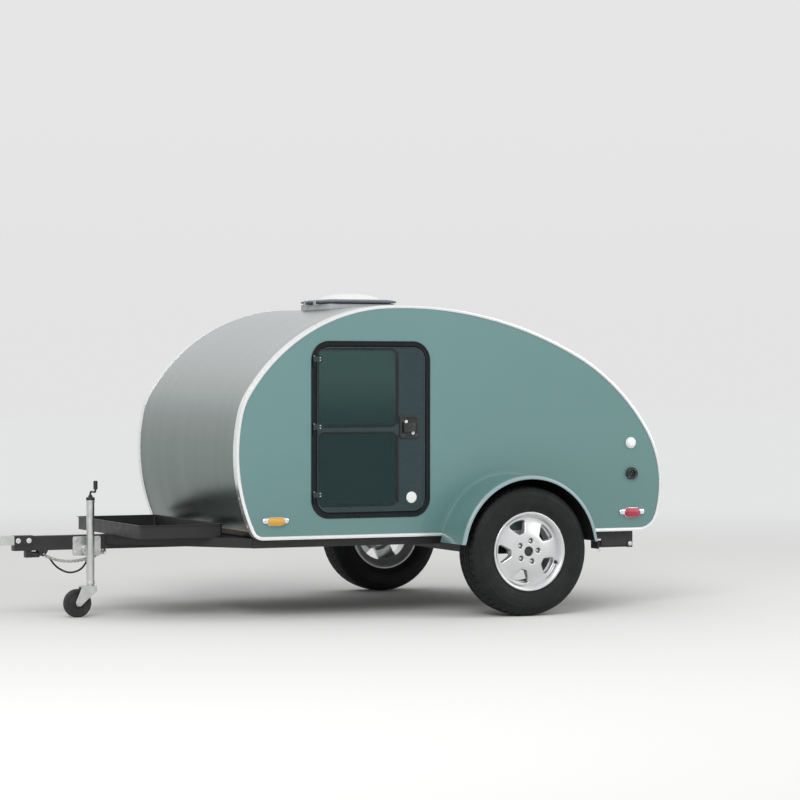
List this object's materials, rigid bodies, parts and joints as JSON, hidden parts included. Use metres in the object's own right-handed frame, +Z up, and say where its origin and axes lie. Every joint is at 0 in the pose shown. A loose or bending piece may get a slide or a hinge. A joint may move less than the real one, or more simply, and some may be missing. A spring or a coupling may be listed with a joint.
{
  "type": "teardrop trailer",
  "caption": "Teardrop camping trailer with side doors, lifting rear hatch, roof vent, front tray, wing covered wheels, swivel jack and rear legs.",
  "frame": {"origin": "on the ground under the middle of the whole trailer's length and width", "axes": "+X to the rear of the trailer, the coupler points along -X, +Y to its right side, +Z up"},
  "size_m": [3.844, 2.08, 1.732],
  "materials": {
    "frame_paint": "satin black",
    "zinc": "bright zinc plate",
    "body_paint": "gloss grey-green",
    "skin": "satin sheet",
    "trim": "bright moulding",
    "board": "clear-coated ply",
    "floor_board": "sealed ply",
    "cover": "woven",
    "door_frame": "gloss black",
    "pane": "smoked",
    "alloy": "silver paint",
    "tread": "matt",
    "black_plastic": "matt",
    "white_plastic": "gloss",
    "amber": "clear amber",
    "red": "clear red",
    "cable": "matt",
    "steel": "machined",
    "wheel_rubber": "matt"
  },
  "bodies": {
    "trailer": {"chassis_frame": "frame_paint", "tongue_beam": "frame_paint", "coupler": "zinc", "coupler_latch": "zinc", "front_tray": "frame_paint", "jack_mount": "zinc", "floor": "floor_board", "left_wall": "body_paint", "right_wall": "body_paint", "edge_trim": "trim", "roof_shell": "skin", "hatch_hinge": "trim", "bulkhead": "board", "galley_cabinet": "board", "galley_boards": "board", "mattress": "cover", "vent_base": "black_plastic", "door_jambs": "door_frame", "fenders": "body_paint", "axle_beam": "frame_paint", "lamp_bases": "black_plastic", "amber_lenses": "amber", "red_lenses": "red", "porch_lights": "white_plastic", "power_inlet": "black_plastic", "wiring_lead": "cable", "lead_plug": "black_plastic"},
    "left_wheel": {"left_tyre": "tread", "left_rim": "alloy", "left_hub": "steel"},
    "right_wheel": {"right_tyre": "tread", "right_rim": "alloy", "right_hub": "steel"},
    "left_door": {"left_door_leaf": "door_frame", "left_door_glass": "pane", "left_door_latch": "black_plastic"},
    "right_door": {"right_door_leaf": "door_frame", "right_door_glass": "pane", "right_door_latch": "black_plastic"},
    "hatch": {"rear_hatch": "skin", "hatch_hook": "trim", "tail_lights": "red", "hatch_handles": "black_plastic"},
    "roof_vent": {"vent_lid": "white_plastic"},
    "jack": {"jack_tube": "zinc", "jack_crank": "black_plastic"},
    "jack_leg": {"jack_ram": "zinc"},
    "jack_caster": {"jack_wheel": "wheel_rubber"},
    "left_leg": {"left_leg_tube": "frame_paint"},
    "left_foot": {"left_leg_foot": "frame_paint"},
    "right_leg": {"right_leg_tube": "frame_paint"},
    "right_foot": {"right_leg_foot": "frame_paint"}
  },
  "joints": [
    {"name": "left_wheel_spin", "type": "hinge", "parent": "trailer", "child": "left_wheel", "pos_m": [0.958, -0.932, 0.3445], "axis": [0, 1, 0], "continuous": true},
    {"name": "left_door_swing", "type": "hinge", "parent": "trailer", "child": "left_door", "pos_m": [-0.18, -0.771, 0.995], "axis": [0, 0, -1], "range_deg": [0, 100]},
    {"name": "right_wheel_spin", "type": "hinge", "parent": "trailer", "child": "right_wheel", "pos_m": [0.958, 0.932, 0.3445], "axis": [0, 1, 0], "continuous": true},
    {"name": "right_door_swing", "type": "hinge", "parent": "trailer", "child": "right_door", "pos_m": [-0.18, 0.771, 0.995], "axis": [0, 0, 1], "range_deg": [0, 100]},
    {"name": "hatch_lift", "type": "hinge", "parent": "trailer", "child": "hatch", "pos_m": [1.27283, 0, 1.45609], "axis": [0, -1, 0], "range_deg": [0, 65]},
    {"name": "vent_lift", "type": "hinge", "parent": "trailer", "child": "roof_vent", "pos_m": [0.121, 0, 1.683], "axis": [0, -1, 0], "range_deg": [0, 60]},
    {"name": "jack_swing", "type": "hinge", "parent": "trailer", "child": "jack", "pos_m": [-1.177, -0.088, 0.35], "axis": [0, -1, 0], "range_deg": [0, 90]},
    {"name": "jack_lift", "type": "slide", "parent": "jack", "child": "jack_leg", "axis": [0, 0, -1], "range_m": [0, 0.25]},
    {"name": "jack_roll", "type": "hinge", "parent": "jack_leg", "child": "jack_caster", "pos_m": [-1.25, -0.088, 0.075], "axis": [0, 1, 0], "continuous": true},
    {"name": "left_leg_swing", "type": "hinge", "parent": "trailer", "child": "left_leg", "pos_m": [1.743, -0.6815, 0.35], "axis": [0, -1, 0], "range_deg": [0, 90]},
    {"name": "left_foot_slide", "type": "slide", "parent": "left_leg", "child": "left_foot", "axis": [-1, 0, 0], "range_m": [0, 0.135]},
    {"name": "right_leg_swing", "type": "hinge", "parent": "trailer", "child": "right_leg", "pos_m": [1.743, 0.6815, 0.35], "axis": [0, -1, 0], "range_deg": [0, 90]},
    {"name": "right_foot_slide", "type": "slide", "parent": "right_leg", "child": "right_foot", "axis": [-1, 0, 0], "range_m": [0, 0.135]}
  ]
}
